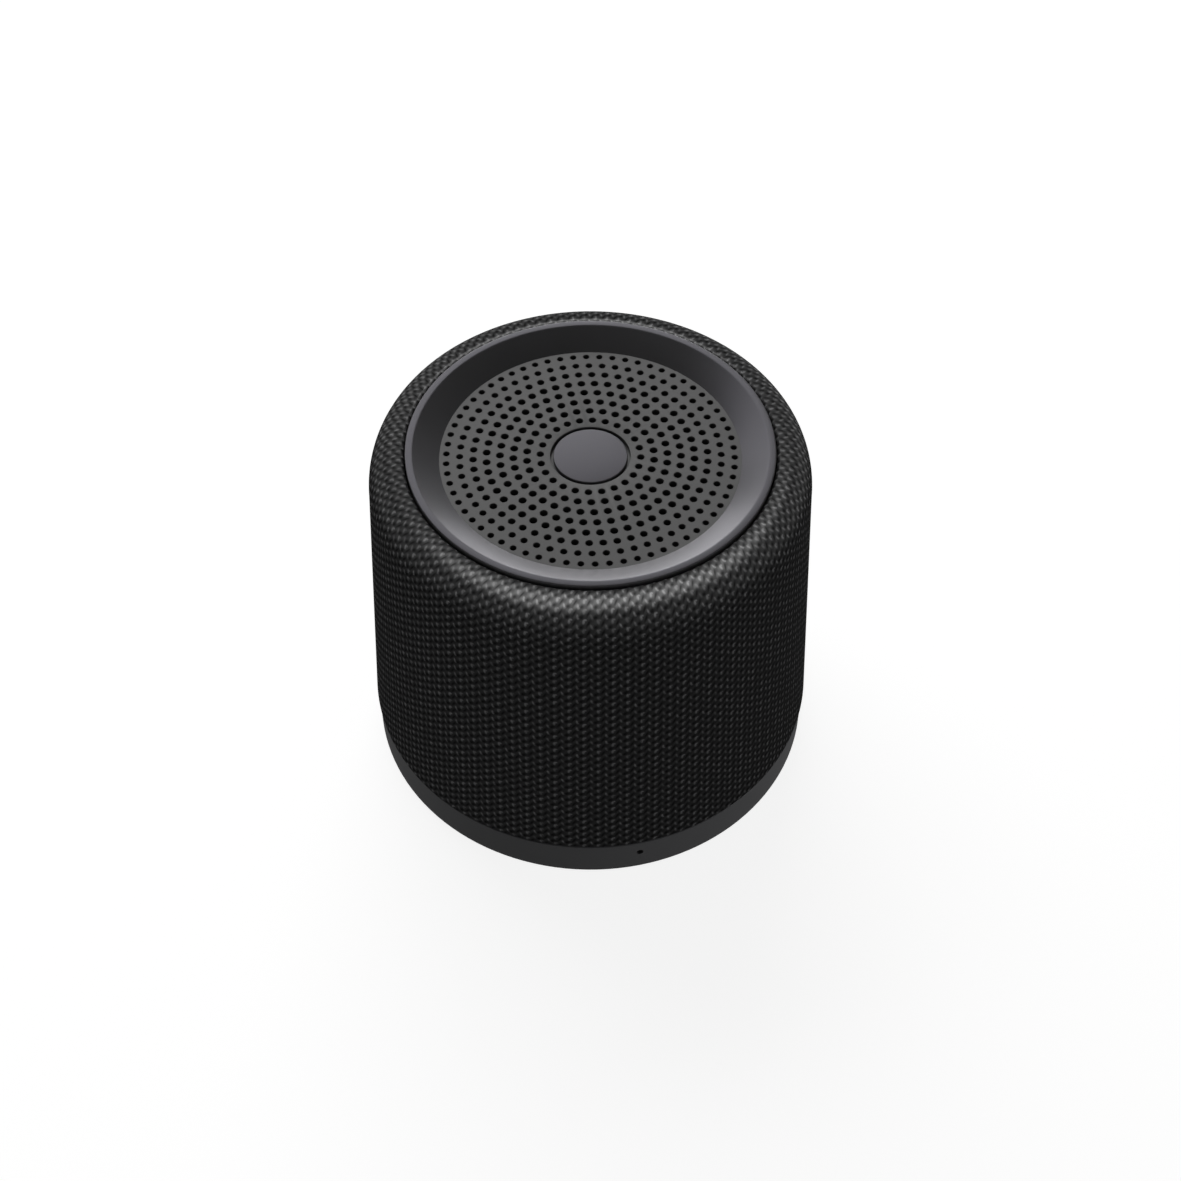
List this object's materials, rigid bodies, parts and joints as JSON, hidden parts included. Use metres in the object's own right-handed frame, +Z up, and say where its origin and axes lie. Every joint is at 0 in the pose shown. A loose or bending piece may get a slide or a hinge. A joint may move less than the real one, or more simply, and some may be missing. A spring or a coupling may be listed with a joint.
{
  "type": "smart speaker hub",
  "caption": "Palm-sized conical voice hub in a woven sleeve, with a dished perforated top over an upward driver, and a base band with microphone, charging socket and buttons.",
  "frame": {"origin": "on the floor under the centre of the foot ring", "axes": "+Z up, out of the grille; -Y to the front, where the microphone hole is; +Y to the back, where the socket and buttons are"},
  "size_m": [0.0834, 0.0834, 0.071],
  "materials": {
    "sleeve_fabric": "dark woven polyester, matt",
    "grille_fabric": "thin black cloth",
    "bezel_grey": "satin grey moulding",
    "band_grey": "dark grey moulding, finely textured",
    "inner_black": "black moulding",
    "button_grey": "dark grey moulding",
    "rubber_black": "matt black rubber",
    "plated_steel": "plated steel",
    "basket_paint": "grey painted steel",
    "ferrite": "sintered ferrite",
    "cone_paper": "black pressed paper",
    "spider_cloth": "resin-dipped cloth",
    "coil_copper": "enamelled copper wire on paper",
    "board_green": "green lacquered board",
    "chip_black": "moulded chip package",
    "shield_tin": "tinned shield",
    "cap_sleeve": "aluminium can",
    "plug_white": "cream nylon",
    "lead_red": "red insulation",
    "lead_black": "black insulation",
    "cell_wrap": "blue shrink sleeve"
  },
  "bodies": {
    "speaker": {"fabric_sleeve": "sleeve_fabric", "inner_housing": "inner_black", "top_bezel": "bezel_grey", "grille_plate": "bezel_grey", "grille_cloth": "grille_fabric", "badge_disc": "bezel_grey", "base_band": "band_grey", "base_plate": "inner_black", "foot_ring": "rubber_black", "base_screws": "plated_steel", "driver_basket": "basket_paint", "driver_gasket": "rubber_black", "driver_screws": "plated_steel", "driver_surround": "rubber_black", "spider": "spider_cloth", "pole_plate": "plated_steel", "driver_magnet": "ferrite", "driver_yoke": "plated_steel", "driver_terminal": "coil_copper", "speaker_leads": "lead_red", "main_board": "board_green", "board_screws": "plated_steel", "radio_module": "shield_tin", "amplifier_chip": "chip_black", "capacitors": "cap_sleeve", "inductors": "chip_black", "lead_connectors": "plug_white", "usb_socket": "plated_steel", "usb_tongue": "chip_black", "mic_capsule": "plated_steel", "mic_boot": "rubber_black", "switch_bodies": "chip_black", "battery_cell": "cell_wrap", "battery_cradle": "inner_black", "battery_strap": "plated_steel", "battery_leads": "lead_black"},
    "cone": {"driver_cone": "cone_paper", "dust_cap": "cone_paper", "voice_coil": "coil_copper"},
    "power_key": {"power_button": "button_grey", "power_plunger": "plug_white"},
    "volume_up_key": {"volume_up_button": "button_grey", "volume_up_plunger": "plug_white"},
    "volume_down_key": {"volume_down_button": "button_grey", "volume_down_plunger": "plug_white"}
  },
  "joints": [
    {"name": "cone_travel", "type": "slide", "parent": "speaker", "child": "cone", "axis": [0, 0, 1], "range_m": [-0.0012, 0.0012], "stiffness_N_per_m": 800, "deforming": ["driver_surround", "spider"]},
    {"name": "power_press", "type": "slide", "parent": "speaker", "child": "power_key", "axis": [0.5, -0.866, 0], "range_m": [0, 0.0004], "stiffness_N_per_m": 400},
    {"name": "volume_down_press", "type": "slide", "parent": "speaker", "child": "volume_down_key", "axis": [-0.4067, -0.9135, 0], "range_m": [0, 0.0004], "stiffness_N_per_m": 400},
    {"name": "volume_up_press", "type": "slide", "parent": "speaker", "child": "volume_up_key", "axis": [-0.6561, -0.7547, 0], "range_m": [0, 0.0004], "stiffness_N_per_m": 400}
  ]
}
